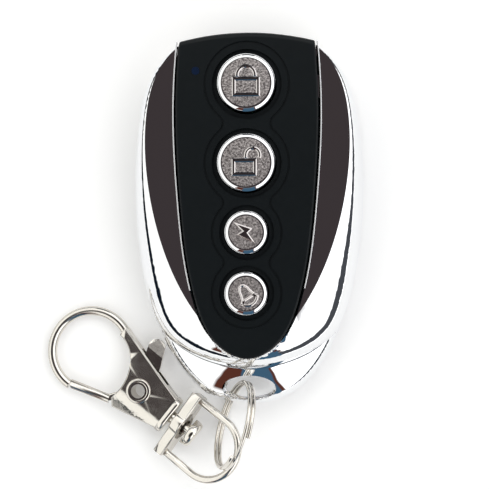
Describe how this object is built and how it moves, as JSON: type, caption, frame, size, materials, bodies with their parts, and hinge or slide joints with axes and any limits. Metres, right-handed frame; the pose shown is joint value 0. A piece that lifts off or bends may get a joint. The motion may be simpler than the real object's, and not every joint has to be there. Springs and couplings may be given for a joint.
{
  "type": "gate remote control",
  "caption": "Gate remote key fob: plated frame, black panel with buttons, key ring and lobster clasp.",
  "frame": {"origin": "middle of the flat back, on the surface that the remote lies on", "axes": "+Z out of the button face, +Y towards the plain end, -Y towards the key-ring lug"},
  "size_m": [0.055, 0.0745, 0.0149],
  "materials": {
    "chrome": "bright plated",
    "nickel": "bright nickel plate",
    "black_plastic": "fine satin",
    "blue_window": "clear tinted",
    "steel": "tinned",
    "board": "solder mask",
    "switch_plastic": "moulded",
    "plunger_plastic": "moulded",
    "cell_jacket": "printed sleeve, left bare",
    "lamp": "clear",
    "chip_plastic": "moulded",
    "copper": "bare wire"
  },
  "bodies": {
    "housing": {"chrome_frame": "chrome", "front_panel": "black_plastic", "back_cover": "black_plastic", "led_window": "blue_window", "cover_screws": "steel", "circuit_board": "board", "lock_switch": "switch_plastic", "unlock_switch": "switch_plastic", "flash_switch": "switch_plastic", "bell_switch": "switch_plastic", "switch_legs": "steel", "battery": "cell_jacket", "contact_plate": "steel", "contact_spring": "steel", "status_led": "lamp", "encoder_chip": "chip_plastic", "chip_legs": "steel", "saw_resonator": "steel", "radio_transistor": "chip_plastic", "chip_parts": "chip_plastic", "loop_antenna": "copper"},
    "lock_key": {"lock_button": "chrome", "lock_plunger": "plunger_plastic"},
    "unlock_key": {"unlock_button": "chrome", "unlock_plunger": "plunger_plastic"},
    "flash_key": {"flash_button": "chrome", "flash_plunger": "plunger_plastic"},
    "bell_key": {"bell_button": "chrome", "bell_plunger": "plunger_plastic"},
    "ring": {"split_ring": "nickel"},
    "loop": {"swivel_loop": "nickel"},
    "clasp": {"clasp_body": "nickel", "swivel_post": "nickel", "pivot_rivet": "nickel", "gate_spring": "steel"},
    "gate": {"gate_lever": "nickel"}
  },
  "joints": [
    {"name": "lock_press", "type": "slide", "parent": "housing", "child": "lock_key", "axis": [0, 0, -1], "range_m": [0, 0.0003], "stiffness_N_per_m": 800},
    {"name": "unlock_press", "type": "slide", "parent": "housing", "child": "unlock_key", "axis": [0, 0, -1], "range_m": [0, 0.0003], "stiffness_N_per_m": 800},
    {"name": "flash_press", "type": "slide", "parent": "housing", "child": "flash_key", "axis": [0, 0, -1], "range_m": [0, 0.0003], "stiffness_N_per_m": 800},
    {"name": "bell_press", "type": "slide", "parent": "housing", "child": "bell_key", "axis": [0, 0, -1], "range_m": [0, 0.0003], "stiffness_N_per_m": 800},
    {"name": "ring_swing", "type": "hinge", "parent": "housing", "child": "ring", "pos_m": [0, -0.03045, 0.00405], "axis": [1, 0, 0], "range_deg": [-3, 45]},
    {"name": "loop_swing", "type": "hinge", "parent": "ring", "child": "loop", "pos_m": [-0.00277, -0.04128, 0.00666], "axis": [0.5664, 0.8241, 0], "range_deg": [-3, 45]},
    {"name": "hook_swivel", "type": "hinge", "parent": "loop", "child": "clasp", "pos_m": [-0.01907, -0.02932, 0.00216], "axis": [0.7807, -0.621, 0.0698], "continuous": true},
    {"name": "gate_open", "type": "hinge", "parent": "clasp", "child": "gate", "pos_m": [-0.01907, -0.02932, 0.00216], "axis": [0.0546, -0.0434, -0.9976], "range_deg": [0, 30], "stiffness_Nm_per_rad": 0.02, "springref_deg": -5.73}
  ]
}
